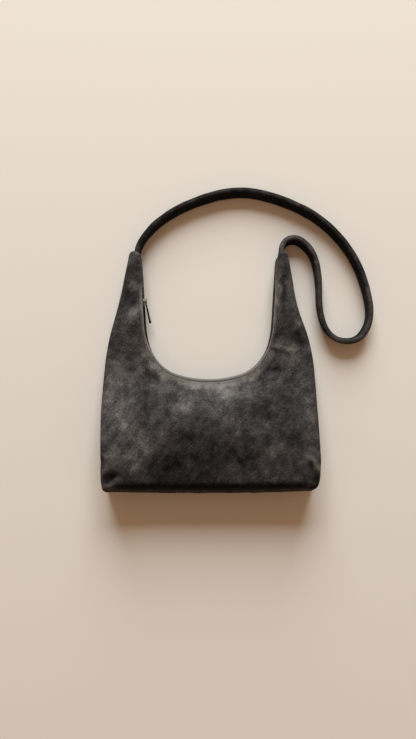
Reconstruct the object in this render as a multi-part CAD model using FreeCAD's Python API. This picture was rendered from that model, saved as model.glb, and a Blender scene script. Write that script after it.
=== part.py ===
import FreeCAD, Part

# A half moon shoulder bag in suede, lying on its back: two horns rise from a wide base, a closed zip
# runs round the U between them, and one padded strap joins the horn tips.
# Millimetres. +X across the bag, +Y from the base towards the horns, +Z up out of the front panel.
# The origin is on the floor, under the middle of the body.

import cmath
import math
import os

Vector = FreeCAD.Vector

# Outline of the body, seen from the front. Insets are measured from the ends of the base, drops from the
# horn tips.
BASE_WIDTH = 284.0          # across the base
BODY_HEIGHT = 314.0         # from the base to the horn tips
BASE_CORNER_R = 11.0        # rounding of the two base corners
HIP_INSET = 2.2             # where the side starts to draw in
HIP_SHARE = 0.405           # of the body's height
SHOULDER_INSET = 23.5
SHOULDER_DROP = 73.0
NECK_INSET = 31.8           # the slim part of the horn
NECK_DROP = 35.0
TIP_INSET = 38.5            # outer side of the horn, where its round tip starts
TIP_ROUND = 5.3             # height of the round tip above its walls

# The U between the horns. Shares are of its half width, rises from its lowest point.
U_DEPTH = 168.8             # from the horn tips down to its lowest point
U_WALL_INSET = 58.7         # where its straight walls start
U_WALL_RISE = 73.8
U_SIDE_SHARE = 0.96         # where its corners end
U_SIDE_RISE = 50.8
U_BEND_SHARE = 0.774        # part of the way round its corners
U_BEND_RISE = 21.1
U_FLOOR_SHARE = 0.504       # where its gently curved floor ends
U_FLOOR_RISE = 6.6

# Strap
STRAP_WIDTH = 19.0
STRAP_THICKNESS = 6.5
STRAP_EDGE_R = 2.6          # rounding of its folded edges
STRAP_WRAP = 1.5            # suede wrapped round the core
STRAP_SEAT_EASE = 0.3       # between the strap and the panels that hold it in a horn
STRAP_FLOOR_GAP = 0.1       # the strap lies on the floor
STRAP_INSET = 46.1          # of the place where it leaves a horn
ROUTE_ARC_SHARE = 0.45      # share of the shorter run that an arc of its route takes up

# Leather, lining and stiffener
PANEL_T = 1.6
WALL_T = 1.6                # side walls and base
FACING_T = 1.4              # strips beside the zip
PANEL_OVERHANG = 1.0        # the panels stand past the zip strips
LINING_T = 0.5
LINING_EASE = 0.2           # the lining hangs this far inside the panels and round the board
BOARD_T = 2.0               # stiffener inside the base
LINING_STRAP_GAP = 14.0     # the lining ends this far below the strap's sewn end
CROWN_DEPTH = 54.0          # of the body at its fullest
CROWN_SHARE = 0.454         # of the height from the base to the U, at the fullest place
FOOT_SHARE = 0.11           # of the front's rise from the U to its fullest place, that curves upwards
ROLL_REACH = 17.0           # from the base to where the front starts to roll over to it
ROLL_DROP = 5.0             # of the front there, from its fullest place
BASE_DROP = 18.0            # of the front at the base
U_LEDGE = 4.0               # flat edge of the front panel below the U

# Zip
ZIP_FROM_TIP = 44.0         # from the top of the U's wall to the end of the zip
ZIP_WINDOW = 11.5           # between the two strips beside the zip
TAPE_T = 0.7
TAPE_TAIL = 8.0             # tape behind the end strips
TAPE_EDGE = 1.3             # from the chain's middle to the tape's edge
TOOTH_PITCH = 3.0
TOOTH_LENGTH = 1.35         # along the chain
TOOTH_T = 2.4               # across the tape
TOOTH_LEG = 1.6             # grip on the tape
TOOTH_OVERLAP = 0.9         # past the chain's middle
TOOTH_HEAD_T = 1.8
STOP_LENGTH = 2.4
STOP_GAP = 0.5              # between the end stops and the slider or the last tooth
TAPE_GRIP = 0.02            # between a tooth and the tape that it grips

# Slider and pull
SLIDER_FROM_TIP = 61.2      # from the top of the U's wall to the slider's middle
SLIDER_TRAVEL = 24.0
SLIDER_LENGTH = 12.0
SLIDER_HALF_WIDTH = 4.4     # at its shoulders
SLIDER_TAIL_HALF = 3.8      # at the end that the closed chain leaves
SLIDER_SHOULDER = 6.5       # from the nose back to the shoulders
SLIDER_MOUTH = 3.0          # length of the nose that is open at the sides
PLATE_T = 1.1
CHAIN_CLEAR = 0.25          # between the chain and the slider's plates
FLANGE_CLEAR = 0.4          # between the chain and the slider's flanges
POST_LENGTH = 2.5
POST_CLEAR = 0.2            # between the post and the tape edges
BRIDGE_LENGTH = 7.7
BRIDGE_HEIGHT = 2.85
BRIDGE_T = 0.9
BRIDGE_WIDTH = 2.6
BRIDGE_BEND_R = 1.6         # at the middle of its thickness
PULL_LENGTH = 29.4          # from the cross bar to the far end
PULL_ANGLE = 9.0            # degrees away from the chain at rest
BAR_R = 0.7                 # cross bar under the bridge
BAR_CLEAR = 0.15            # between the cross bar and the bridge
EYE_CLEAR = 0.4             # between the eye and the bridge
EYE_ARM = 1.2
STEM_TOP_R = 1.0
STEM_END_R = 1.3
BULB_R = 1.8

# Worked out from the sizes above
HALF_BASE = BASE_WIDTH / 2
BASE_Y = -BODY_HEIGHT / 2
TIP_Y = BODY_HEIGHT / 2
U_BOTTOM_Y = TIP_Y - U_DEPTH
CROWN_Y = BASE_Y + CROWN_SHARE * (U_BOTTOM_Y - BASE_Y)
BASE_DEPTH = CROWN_DEPTH - BASE_DROP
TOP_DEPTH = STRAP_WIDTH + 2 * (PANEL_T + STRAP_SEAT_EASE)
ZIP_Z = TOP_DEPTH / 2
PANEL_UNDER = TOP_DEPTH - PANEL_T
TIP_WALL_Y = TIP_Y - TIP_ROUND
TAPE_INSET = PANEL_OVERHANG + FACING_T
CHAIN_INSET = TAPE_INSET + TAPE_T / 2
CHAIN_HALF = TAPE_EDGE + TOOTH_LEG
LINING_OUT = PANEL_T + LINING_EASE
LINING_IN = LINING_OUT + LINING_T
WIDE = 2 * BODY_HEIGHT

# Middle line of the strap, from inside the left horn round to inside the right one. It leaves each horn
# at the zip's height, comes down to the floor and lies there on its edge.
LYING_Z = STRAP_WIDTH / 2 + STRAP_FLOOR_GAP
LEFT_HORN = Vector(STRAP_INSET - HALF_BASE, TIP_Y, 0)
RIGHT_HORN = Vector(HALF_BASE - STRAP_INSET, TIP_Y, 0)
STRAP_ROUTE = [
    LEFT_HORN + Vector(-2.1, -27.0, ZIP_Z),
    LEFT_HORN + Vector(-0.9, -7.0, ZIP_Z),
    LEFT_HORN + Vector(6.4, 15.0, LYING_Z + 1.6),
    LEFT_HORN + Vector(28.9, 40.5, LYING_Z),
    LEFT_HORN + Vector(70.9, 65.0, LYING_Z),
    RIGHT_HORN + Vector(-57.9, 82.5, LYING_Z),
    RIGHT_HORN + Vector(1.1, 69.5, LYING_Z),
    RIGHT_HORN + Vector(56.1, 41.5, LYING_Z),
    RIGHT_HORN + Vector(97.6, -6.0, LYING_Z),
    RIGHT_HORN + Vector(116.1, -58.5, LYING_Z),
    RIGHT_HORN + Vector(118.1, -92.0, LYING_Z),
    RIGHT_HORN + Vector(105.6, -115.0, LYING_Z),
    RIGHT_HORN + Vector(83.6, -120.5, LYING_Z),
    RIGHT_HORN + Vector(60.6, -109.0, LYING_Z),
    RIGHT_HORN + Vector(50.1, -77.0, LYING_Z),
    RIGHT_HORN + Vector(50.1, -39.0, LYING_Z),
    RIGHT_HORN + Vector(45.1, -10.0, LYING_Z),
    RIGHT_HORN + Vector(36.1, 5.0, LYING_Z),
    RIGHT_HORN + Vector(24.6, 14.5, LYING_Z + 0.2),
    RIGHT_HORN + Vector(14.1, 16.8, LYING_Z + 0.6),
    RIGHT_HORN + Vector(5.1, 13.0, LYING_Z + 1.2),
    RIGHT_HORN + Vector(0.1, 4.5, ZIP_Z),
    RIGHT_HORN + Vector(-0.9, -9.5, ZIP_Z),
    RIGHT_HORN + Vector(0.4, -23.0, ZIP_Z),
]


class Path:
    """A flat curve of straight and round legs, each tangent to the one before. Its points are complex."""

    def __init__(self, legs=()):
        self.legs = list(legs)      # (start, heading, length, turn) of each leg

    @classmethod
    def through(cls, start, heading, points):
        """From start, along the heading, by one tangent arc or line to each point in turn."""
        legs = []
        for point in points:
            chord = point - start
            half = cmath.phase(chord / cmath.rect(1, heading))
            stretch = half / math.sin(half) if abs(half) > 1e-9 else 1.0
            legs.append((start, heading, abs(chord) * stretch, 2 * half))
            start = point
            heading += 2 * half
        return cls(legs)

    @staticmethod
    def along(leg, share):
        """The point at a share of a leg, and the heading there."""
        start, heading, length, turn = leg
        half = turn * share / 2
        shrink = math.sin(half) / half if abs(half) > 1e-9 else 1.0
        return start + cmath.rect(length * share * shrink, heading + half), heading + 2 * half

    @property
    def start(self):
        return self.legs[0][0]

    @property
    def end(self):
        return self.along(self.legs[-1], 1)[0]

    @property
    def end_heading(self):
        return self.along(self.legs[-1], 1)[1]

    @property
    def length(self):
        return sum(leg[2] for leg in self.legs)

    def extended(self, length):
        return Path(self.legs + [(self.end, self.end_heading, length, 0.0)])

    def at(self, distance):
        """The point and heading at a distance from the start."""
        for leg in self.legs:
            if distance <= leg[2] or leg is self.legs[-1]:
                return self.along(leg, distance / leg[2])
            distance -= leg[2]

    def offset(self, left):
        """The same curve, moved sideways to its left."""
        return Path(
            (start + 1j * cmath.rect(left, heading), heading, length - left * turn, turn)
            for start, heading, length, turn in self.legs
        )

    def reversed(self):
        backwards = []
        for leg in reversed(self.legs):
            point, heading = self.along(leg, 1)
            backwards.append((point, heading + math.pi, leg[2], -leg[3]))
        return Path(backwards)

    def mirrored(self):
        """The curve on the other side of x = 0."""
        return Path(
            (-start.conjugate(), math.pi - heading, length, -turn)
            for start, heading, length, turn in self.legs
        )

    def part(self, first, last):
        """The stretch between two distances from the start."""
        kept = []
        walked = 0.0
        for leg in self.legs:
            low = max(first - walked, 0.0)
            high = min(last - walked, leg[2])
            if high - low > 1e-6:
                point, heading = self.along(leg, low / leg[2])
                kept.append((point, heading, high - low, leg[3] * (high - low) / leg[2]))
            walked += leg[2]
        return Path(kept)

    def __add__(self, other):
        return Path(self.legs + other.legs)

    def edges(self, place):
        """The curve as edges, with place turning a complex point into a vector."""
        made = []
        for leg in self.legs:
            first, middle, last = (place(self.along(leg, share)[0]) for share in (0, 0.5, 1))
            if abs(leg[3]) < 1e-6:
                made.append(Part.LineSegment(first, last).toShape())
            else:
                made.append(Part.Arc(first, middle, last).toShape())
        return made


def on_plan(point):
    return Vector(point.real, point.imag, 0)


def on_side(point):
    """A side profile's point, y + z j, at the far left of everything."""
    return Vector(-WIDE, point.real, point.imag)


def closed_face(paths, place):
    """The face inside paths that are joined end to start by straight lines."""
    edges = []
    for path, following in zip(paths, paths[1:] + paths[:1]):
        edges += path.edges(place)
        if abs(path.end - following.start) > 1e-6:
            edges.append(Part.LineSegment(place(path.end), place(following.start)).toShape())
    return Part.Face(Part.Wire(edges))


def ribbon(path, near, far, place):
    """The strip between two offsets to the left of a path."""
    return closed_face([path.offset(near), path.offset(far).reversed()], place)


def upright(face, low, high):
    """A plan face as a solid between two heights."""
    face = face.copy()
    face.translate(Vector(0, 0, low))
    return face.extrude(Vector(0, 0, high - low))


def strip(path, near, far, low, high):
    return upright(ribbon(path, near, far, on_plan), low, high)


def across(face):
    """A side profile's face as a solid that reaches past both sides of the bag."""
    return face.extrude(Vector(2 * WIDE, 0, 0))


# Plan curves, with the bag on their left
def outer_edge():
    """From the left horn's outer side, down, along the base and up to the right horn's outer side."""
    base_corner = complex(HALF_BASE - BASE_CORNER_R, BASE_Y)
    points = [
        base_corner,
        complex(HALF_BASE, BASE_Y + BASE_CORNER_R),
        complex(HALF_BASE - HIP_INSET, BASE_Y + HIP_SHARE * BODY_HEIGHT),
        complex(HALF_BASE - SHOULDER_INSET, TIP_Y - SHOULDER_DROP),
        complex(HALF_BASE - NECK_INSET, TIP_Y - NECK_DROP),
        complex(HALF_BASE - TIP_INSET, TIP_WALL_Y),
    ]
    right = Path.through(complex(0, BASE_Y), 0.0, points)
    return right.mirrored().reversed() + right


def u_edge():
    """From the top of the right horn's inner side, down, round the U and up the left horn's inner side."""
    bottom = complex(0, U_BOTTOM_Y)
    half = HALF_BASE - U_WALL_INSET
    points = [
        bottom + complex(U_FLOOR_SHARE * half, U_FLOOR_RISE),
        bottom + complex(U_BEND_SHARE * half, U_BEND_RISE),
        bottom + complex(U_SIDE_SHARE * half, U_SIDE_RISE),
        bottom + complex(half, U_WALL_RISE),
    ]
    right = Path.through(bottom, 0.0, points)
    wall = (TIP_WALL_Y - right.end.imag) / math.sin(right.end_heading)
    right = right.extended(wall)
    return right.reversed() + right.mirrored()


def front_profile():
    """The outside of the front panel from the side, from above the horns down to below the base."""
    crown = complex(CROWN_Y, CROWN_DEPTH)
    ledge = complex(U_BOTTOM_Y - U_LEDGE, TOP_DEPTH)
    points = [
        ledge,
        ledge + FOOT_SHARE * (crown - ledge),
        crown,
        complex(BASE_Y + ROLL_REACH, CROWN_DEPTH - ROLL_DROP),
        complex(BASE_Y, BASE_DEPTH),
    ]
    beyond = BASE_DEPTH / 2
    profile = Path.through(complex(TIP_Y + beyond, TOP_DEPTH), math.pi, points)
    start, heading, length, turn = profile.legs[-1]
    run_on = 1.12
    past_base = Path(profile.legs[:-1] + [(start, heading, length * run_on, turn * run_on)])
    return past_base.extended(beyond)


OUTER = outer_edge()
U_EDGE = u_edge()
PROFILE = front_profile()
ZIP = U_EDGE.part(ZIP_FROM_TIP, U_EDGE.length - ZIP_FROM_TIP)


def right_tip():
    """The round end of the right horn, from its outer wall over the crest to its inner wall."""
    outer_lean = 1 / math.tan((math.pi - OUTER.end_heading) / 2)
    inner_lean = 1 / math.tan((U_EDGE.legs[0][1] - math.pi) / 2)
    share = outer_lean / (outer_lean + inner_lean)
    crest_x = OUTER.end.real + share * (U_EDGE.start.real - OUTER.end.real)
    crest = complex(crest_x, TIP_Y)
    outer_side = Path.through(crest, 0.0, [OUTER.end]).reversed()
    return outer_side + Path.through(crest, math.pi, [U_EDGE.start])


def outline():
    left_tip = right_tip().mirrored().reversed()
    return closed_face([OUTER, right_tip(), U_EDGE, left_tip], on_plan)


LINING_TOP = min(STRAP_ROUTE[0].y, STRAP_ROUTE[-1].y) - LINING_STRAP_GAP


def inside_outline():
    """The floor of the lining: inside the walls and the zip, and clear of the strap's sewn ends."""
    face = closed_face([OUTER.offset(WALL_T), U_EDGE.offset(TAPE_INSET + TAPE_T)], on_plan)
    keep = Part.makePlane(2 * WIDE, LINING_TOP + WIDE, Vector(-WIDE, -WIDE, 0))
    return face.common(keep).Faces[0]


def sheet(near, far):
    """The layer between two depths below the front panel's outside."""
    return across(ribbon(PROFILE, near, far, on_side))


def room(inset):
    """The space between the front and back panels, drawn in by the same amount from both outsides."""
    front = PROFILE.offset(inset)
    back = Path.through(complex(front.end.real, inset), 0.0, [complex(front.start.real, inset)])
    return across(closed_face([front, back], on_side))


def front_panel():
    return upright(outline(), 0, 2 * CROWN_DEPTH).common(sheet(0, PANEL_T))


def back_panel():
    return upright(outline(), 0, PANEL_T)


def wall(path, near, far, inset):
    """A wall that stands between the two panels, or between the two linings."""
    return strip(path, near, far, 0, 2 * CROWN_DEPTH).common(room(inset))


def base_stretch():
    """How far along the outer edge the base starts and ends, its round corners included."""
    corner = BASE_CORNER_R * math.pi / 2
    half = HALF_BASE - BASE_CORNER_R + corner
    return OUTER.length / 2 - half, OUTER.length / 2 + half


def side_wall_left():
    return wall(OUTER.part(0, base_stretch()[0]), 0, WALL_T, PANEL_T)


def side_wall_right():
    return wall(OUTER.part(base_stretch()[1], OUTER.length), 0, WALL_T, PANEL_T)


def base_panel():
    return wall(OUTER.part(*base_stretch()), 0, WALL_T, PANEL_T)


def base_board():
    half = HALF_BASE - BASE_CORNER_R
    straight = OUTER.part(OUTER.length / 2 - half, OUTER.length / 2 + half)
    return wall(straight, WALL_T, WALL_T + BOARD_T, LINING_IN + LINING_EASE)


def lining_front():
    return upright(inside_outline(), 0, 2 * CROWN_DEPTH).common(sheet(LINING_OUT, LINING_IN))


def lining_back():
    return upright(inside_outline(), LINING_OUT, LINING_IN)


def lining_wall():
    """The lining's side and bottom strip, which lies on the base board."""
    inset = WALL_T + BOARD_T + LINING_EASE
    whole = wall(OUTER, inset, inset + LINING_T, LINING_IN + LINING_EASE)
    keep = Part.makeBox(2 * WIDE, LINING_TOP + WIDE, 2 * CROWN_DEPTH, Vector(-WIDE, -WIDE, 0))
    return whole.common(keep)


def zip_facing_front():
    return strip(ZIP, PANEL_OVERHANG, TAPE_INSET, ZIP_Z + ZIP_WINDOW / 2, PANEL_UNDER)


def zip_facing_back():
    return strip(ZIP, PANEL_OVERHANG, TAPE_INSET, PANEL_T, ZIP_Z - ZIP_WINDOW / 2)


def horn_facing_right():
    return strip(U_EDGE.part(0, ZIP_FROM_TIP), PANEL_OVERHANG, TAPE_INSET, PANEL_T, PANEL_UNDER)


def horn_facing_left():
    path = U_EDGE.part(U_EDGE.length - ZIP_FROM_TIP, U_EDGE.length)
    return strip(path, PANEL_OVERHANG, TAPE_INSET, PANEL_T, PANEL_UNDER)


def tape_path():
    first = ZIP_FROM_TIP - TAPE_TAIL
    return U_EDGE.part(first, U_EDGE.length - first)


def zip_tape_front():
    return strip(tape_path(), TAPE_INSET, TAPE_INSET + TAPE_T, ZIP_Z + TAPE_EDGE, PANEL_UNDER)


def zip_tape_back():
    return strip(tape_path(), TAPE_INSET, TAPE_INSET + TAPE_T, PANEL_T, ZIP_Z - TAPE_EDGE)


# The chain is walked from its left end, where the slider rests, to its right end
CHAIN = U_EDGE.offset(CHAIN_INSET).reversed()
SLIDER_AT = SLIDER_FROM_TIP
POST_END = SLIDER_AT - SLIDER_LENGTH / 2 + POST_LENGTH
LAST_TOOTH = CHAIN.length - ZIP_FROM_TIP - 2 * STOP_LENGTH


def chain_frame(distance):
    """Where the chain is: x along it, y out of the bag, z up the bag's depth."""
    point, heading = CHAIN.at(distance)
    turn = FreeCAD.Rotation(Vector(0, 0, 1), math.degrees(heading))
    return FreeCAD.Placement(Vector(point.real, point.imag, ZIP_Z), turn)


def clamp(length, side, reach):
    """A tooth or stop that grips the tape's edge on one side (+1 front, -1 back) and reaches over."""
    grip = TAPE_T / 2 + TAPE_GRIP
    back = CHAIN_HALF
    root = TAPE_EDGE - TAPE_GRIP
    section = [
        (back, TOOTH_T / 2),
        (-reach, TOOTH_HEAD_T / 2),
        (-reach, -TOOTH_HEAD_T / 2),
        (back, -TOOTH_T / 2),
        (back, -grip),
        (root, -grip),
        (root, grip),
        (back, grip),
    ]
    corners = [Vector(-length / 2, out, side * up) for up, out in section]
    face = Part.Face(Part.makePolygon(corners + corners[:1]))
    return face.extrude(Vector(length, 0, 0))


def placed(shape, distance):
    shape = shape.copy()
    shape.Placement = chain_frame(distance)
    return shape


def teeth(side, run):
    """One tape's teeth: those that the slider's post passes (run) or all the others."""
    tooth = clamp(TOOTH_LENGTH, side, TOOTH_OVERLAP)
    first = POST_END + CHAIN_CLEAR + TOOTH_LENGTH / 2
    count = int((LAST_TOOTH - first) / TOOTH_PITCH)
    shift = 0 if side > 0 else TOOTH_PITCH / 2
    run_end = POST_END + SLIDER_TRAVEL + TOOTH_LENGTH
    made = []
    for number in range(count):
        distance = first + shift + number * TOOTH_PITCH
        if (distance <= run_end) == run:
            made.append(placed(tooth, distance))
    return Part.makeCompound(made)


def zip_top_stops():
    distance = SLIDER_AT - SLIDER_LENGTH / 2 - STOP_GAP - STOP_LENGTH / 2
    reach = -(TAPE_EDGE - STOP_GAP)
    return Part.makeCompound([placed(clamp(STOP_LENGTH, side, reach), distance) for side in (1, -1)])


def zip_bottom_stop():
    """One block that holds both tapes together at the chain's right end."""
    half = [placed(clamp(STOP_LENGTH, side, 0), LAST_TOOTH + STOP_LENGTH) for side in (1, -1)]
    return half[0].fuse(half[1]).removeSplitter()


# Slider and pull, in the chain's frame at the slider: x along the chain, y out of the bag, z up
CHANNEL = TOOTH_T / 2 + CHAIN_CLEAR     # from the chain's middle to each plate
PLATE_OUT = CHANNEL + PLATE_T


def slab(start_x, length, half_y, half_z):
    """A block along the chain, centred on it."""
    return Part.makeBox(length, 2 * half_y, 2 * half_z, Vector(start_x, -half_y, -half_z))


def slider_shield():
    """The slider's outline from outside: a square tail, sides that widen to the shoulders, a round nose."""
    half = SLIDER_LENGTH / 2
    tail = complex(half, SLIDER_TAIL_HALF)
    shoulder = complex(SLIDER_SHOULDER - half, SLIDER_HALF_WIDTH)
    upper = Path.through(tail, cmath.phase(shoulder - tail), [shoulder, complex(-half, 0)])
    lower = Path((start.conjugate(), -heading, length, -turn) for start, heading, length, turn in upper.legs)
    return closed_face([upper, lower.reversed()], lambda p: Vector(p.real, -PLATE_OUT, p.imag))


def zip_slider():
    """Two shields on a post, with flanges that close round the chain and leave a slot for the tapes."""
    nose = -SLIDER_LENGTH / 2
    wide = 2 * SLIDER_HALF_WIDTH
    body = slider_shield().extrude(Vector(0, 2 * PLATE_OUT, 0))
    body = body.cut(slab(nose, SLIDER_LENGTH, CHANNEL, CHAIN_HALF + FLANGE_CLEAR))
    body = body.cut(slab(nose, SLIDER_LENGTH, TAPE_T / 2 + CHAIN_CLEAR, wide))
    body = body.cut(slab(nose, SLIDER_MOUTH, CHANNEL, wide))
    post = slab(nose, POST_LENGTH, CHANNEL, TAPE_EDGE - POST_CLEAR)
    post = post.common(slider_shield().extrude(Vector(0, 2 * PLATE_OUT, 0)))
    return placed(body.fuse(post).removeSplitter(), SLIDER_AT)


def zip_bridge():
    """The arch on the outer plate that holds the pull's cross bar."""
    half = BRIDGE_LENGTH / 2 - BRIDGE_T / 2
    top = PLATE_OUT + BRIDGE_HEIGHT - BRIDGE_T / 2
    bend = BRIDGE_BEND_R
    left = complex(-half, PLATE_OUT)
    points = [
        complex(-half, top - bend),
        complex(-half + bend, top),
        complex(half - bend, top),
        complex(half, top - bend),
        complex(half, PLATE_OUT),
    ]
    arch = Path.through(left, math.pi / 2, points)
    face = ribbon(arch, BRIDGE_T / 2, -BRIDGE_T / 2, lambda p: Vector(p.real, p.imag, -BRIDGE_WIDTH / 2))
    return placed(face.extrude(Vector(0, 0, BRIDGE_WIDTH)), SLIDER_AT)


def pull_pivot():
    """The middle of the cross bar, in the slider's frame."""
    return Vector(0, PLATE_OUT + BRIDGE_HEIGHT - BRIDGE_T - BAR_CLEAR - BAR_R, 0)


def zip_pull():
    """A slim bar with an eye round the bridge at one end and a bulb at the other."""
    arm_in = BRIDGE_WIDTH / 2 + EYE_CLEAR
    arm_out = arm_in + EYE_ARM
    eye_end = BRIDGE_LENGTH / 2 + EYE_CLEAR
    head_end = eye_end + 2 * BAR_R
    pull = slab(0, head_end, BAR_R, arm_out).cut(slab(0, eye_end, BAR_R, arm_in))
    bar = Part.makeCylinder(BAR_R, 2 * arm_out, Vector(0, 0, -arm_out), Vector(0, 0, 1))
    pull = pull.fuse(bar)
    bulb_middle = PULL_LENGTH - BULB_R
    neck = bulb_middle - math.sqrt(BULB_R ** 2 - STEM_END_R ** 2)
    stem = [
        Part.LineSegment(Vector(eye_end, 0, 0), Vector(eye_end, 0, STEM_TOP_R)).toShape(),
        Part.LineSegment(Vector(eye_end, 0, STEM_TOP_R), Vector(neck, 0, STEM_END_R)).toShape(),
        Part.Arc(
            Vector(neck, 0, STEM_END_R), Vector(bulb_middle, 0, BULB_R), Vector(PULL_LENGTH, 0, 0)
        ).toShape(),
        Part.LineSegment(Vector(PULL_LENGTH, 0, 0), Vector(eye_end, 0, 0)).toShape(),
    ]
    pull = pull.fuse(Part.Face(Part.Wire(stem)).revolve(Vector(), Vector(1, 0, 0), 360))
    pull = pull.removeSplitter()
    pull.Placement = FreeCAD.Placement(
        pull_pivot(), FreeCAD.Rotation(Vector(0, 0, 1), PULL_ANGLE)
    )
    pull.Placement = chain_frame(SLIDER_AT).multiply(pull.Placement)
    return pull


# Strap
def rounded_route(points):
    """Straight runs joined by tangent arcs, each as large as its two runs allow, and the arcs' radii."""
    edges = []
    radii = []
    start = points[0]
    for before, corner, after in zip(points, points[1:], points[2:]):
        run_in = corner - before
        run_out = after - corner
        turn = run_in.getAngle(run_out)
        reach = ROUTE_ARC_SHARE * min(run_in.Length, run_out.Length)
        radius = reach / math.tan(turn / 2)
        way_in = run_in.multiply(1 / run_in.Length)
        way_out = run_out.multiply(1 / run_out.Length)
        to_centre = (way_out - way_in).normalize()
        middle = corner + to_centre * (radius / math.cos(turn / 2) - radius)
        edges.append(Part.LineSegment(start, corner - way_in * reach).toShape())
        edges.append(Part.Arc(corner - way_in * reach, middle, corner + way_out * reach).toShape())
        start = corner + way_out * reach
        radii.append(radius)
    edges.append(Part.LineSegment(start, points[-1]).toShape())
    return Part.Wire(edges), radii


def strap_section(thickness, width, edge_r):
    """A band on its edge with round folds, square to the start of the route."""
    half_t = thickness / 2
    half_w = width / 2
    corner_points = [
        complex(half_t - edge_r, -half_w),
        complex(half_t, edge_r - half_w),
        complex(half_t, half_w - edge_r),
        complex(half_t - edge_r, half_w),
        complex(edge_r - half_t, half_w),
        complex(-half_t, half_w - edge_r),
        complex(-half_t, edge_r - half_w),
        complex(edge_r - half_t, -half_w),
    ]
    first = STRAP_ROUTE[0]
    run = STRAP_ROUTE[1] - first
    side = Vector(run.y, -run.x, 0).normalize()
    section = Path.through(corner_points[0], 0.0, corner_points[1:] + corner_points[:1])
    return Part.Wire(section.edges(lambda p: first + side * p.real + Vector(0, 0, p.imag)))


def swept(thickness, width, edge_r):
    """A band of that section along the strap's route, kept upright, checked against section times length."""
    route, radii = rounded_route(STRAP_ROUTE)
    section = strap_section(thickness, width, edge_r)
    sweep = Part.BRepOffsetAPI.MakePipeShell(route)
    sweep.setBiNormalMode(Vector(0, 0, 1))
    sweep.add(section)
    sweep.build()
    sweep.makeSolid()
    solid = sweep.shape()
    expected = Part.Face(section).Area * route.Length
    share = solid.Volume / expected
    print(f"band {width:.1f} x {thickness:.1f}: length {route.Length:.1f}, volume share {share:.4f}")
    print("  arc radii", [round(radius, 1) for radius in radii])
    return solid


def strap_core():
    return swept(STRAP_THICKNESS - 2 * STRAP_WRAP, STRAP_WIDTH - 2 * STRAP_WRAP, STRAP_EDGE_R - STRAP_WRAP)


def strap():
    return swept(STRAP_THICKNESS, STRAP_WIDTH, STRAP_EDGE_R).cut(strap_core())


NODES = {
    "front_panel": front_panel,
    "back_panel": back_panel,
    "side_wall_left": side_wall_left,
    "side_wall_right": side_wall_right,
    "base_panel": base_panel,
    "base_board": base_board,
    "lining_front": lining_front,
    "lining_back": lining_back,
    "lining_wall": lining_wall,
    "zip_facing_front": zip_facing_front,
    "zip_facing_back": zip_facing_back,
    "horn_facing_left": horn_facing_left,
    "horn_facing_right": horn_facing_right,
    "zip_tape_front": zip_tape_front,
    "zip_tape_back": zip_tape_back,
    "zip_teeth_front": lambda: teeth(1, False),
    "zip_teeth_back": lambda: teeth(-1, False),
    "zip_teeth_front_run": lambda: teeth(1, True),
    "zip_teeth_back_run": lambda: teeth(-1, True),
    "zip_top_stops": zip_top_stops,
    "zip_bottom_stop": zip_bottom_stop,
    "zip_slider": zip_slider,
    "zip_bridge": zip_bridge,
    "zip_pull": zip_pull,
    "strap": strap,
    "strap_core": strap_core,
}


def main():
    os.makedirs("parts", exist_ok=True)
    for name, make in NODES.items():
        shape = make()
        solids = shape.Solids
        sound = all(solid.isValid() and solid.Volume > 0 for solid in solids)
        print(f"{name}: {len(solids)} solids, {shape.Volume:.1f} mm3, sound {sound}")
        Part.makeCompound(solids).exportStep(f"parts/{name}.step")
    pivot = chain_frame(SLIDER_AT).multVec(pull_pivot())
    heading = CHAIN.at(SLIDER_AT)[1]
    print("pull pivot", pivot, "slide direction", math.cos(heading), math.sin(heading))


main()
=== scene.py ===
import cmath
import math

import bpy
import numpy as np
from mathutils import Matrix, Vector, noise


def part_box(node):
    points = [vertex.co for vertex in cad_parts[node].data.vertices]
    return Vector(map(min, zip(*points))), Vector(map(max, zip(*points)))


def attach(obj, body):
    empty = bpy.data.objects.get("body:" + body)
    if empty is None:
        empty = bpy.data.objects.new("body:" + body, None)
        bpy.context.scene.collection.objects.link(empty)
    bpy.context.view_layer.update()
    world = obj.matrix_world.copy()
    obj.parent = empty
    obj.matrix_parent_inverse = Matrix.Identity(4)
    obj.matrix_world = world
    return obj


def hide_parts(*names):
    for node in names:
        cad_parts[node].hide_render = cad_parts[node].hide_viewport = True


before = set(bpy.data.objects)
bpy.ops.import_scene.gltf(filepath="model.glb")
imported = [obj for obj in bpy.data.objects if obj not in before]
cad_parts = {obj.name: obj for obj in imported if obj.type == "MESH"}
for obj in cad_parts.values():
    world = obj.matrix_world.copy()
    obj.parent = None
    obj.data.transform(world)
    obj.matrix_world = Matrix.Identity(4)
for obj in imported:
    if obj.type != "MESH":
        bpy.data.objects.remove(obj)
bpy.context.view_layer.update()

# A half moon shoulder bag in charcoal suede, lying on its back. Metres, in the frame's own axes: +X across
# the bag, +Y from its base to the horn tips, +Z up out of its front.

bpy.ops.object.select_all(action="DESELECT")

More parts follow.
